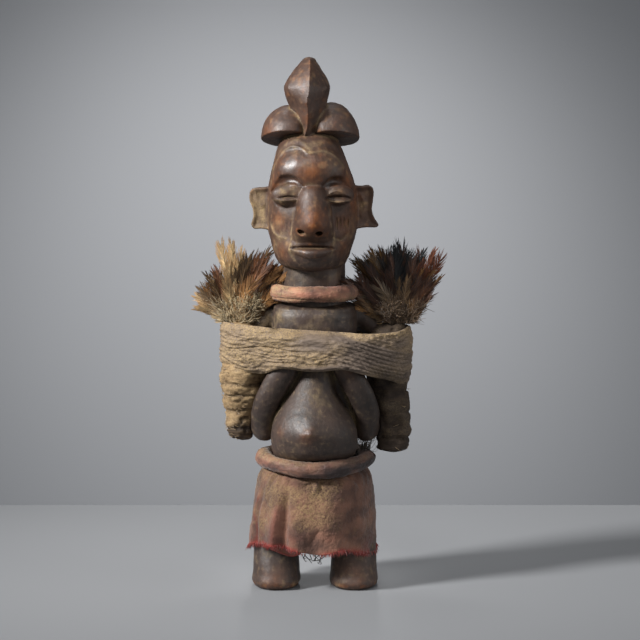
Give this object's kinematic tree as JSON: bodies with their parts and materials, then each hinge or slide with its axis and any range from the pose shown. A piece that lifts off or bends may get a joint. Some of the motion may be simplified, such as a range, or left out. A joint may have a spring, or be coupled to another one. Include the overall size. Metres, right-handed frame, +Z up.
{
  "type": "power figure",
  "caption": "Carved wooden standing figure with spearhead crest, upturned nose and swollen belly, bound with a hide band, cloth rings, wrapped bundles, feather tufts and a short skirt.",
  "frame": {"origin": "on the ground, midway between the two feet and midway between front and back", "axes": "+Z up along the figure's height, -Y the way the figure faces, +X to the right of a viewer who faces it"},
  "size_m": [0.1548, 0.0781, 0.3256],
  "materials": {
    "patinated_wood": "dark brown carved wood, satin handling patina, pale dust in the hollows",
    "clay_cloth": "cloth-wrapped fibre ring, coated with pinkish clay, matt",
    "hide_band": "wound hide and plied fibre cords, worn, partly satin",
    "tan_wrap": "tan fibre cloth packet, coarse and dusty",
    "dark_wrap": "dark fibre cloth packet, coarse and crusted",
    "golden_feather": "golden brown to olive feathers, soft",
    "dark_feather": "black-brown feathers with reddish tips, soft",
    "dusty_cloth": "red cloth faded to pinkish brown under tan dust, frayed red hem"
  },
  "bodies": {
    "root": {"figure": "patinated_wood", "neck_ring": "clay_cloth", "chest_band": "hide_band", "left_bundle": "tan_wrap", "right_bundle": "dark_wrap", "left_feathers": "golden_feather", "right_feathers": "dark_feather", "waist_ring": "clay_cloth", "skirt": "dusty_cloth"}
  },
  "joints": []
}
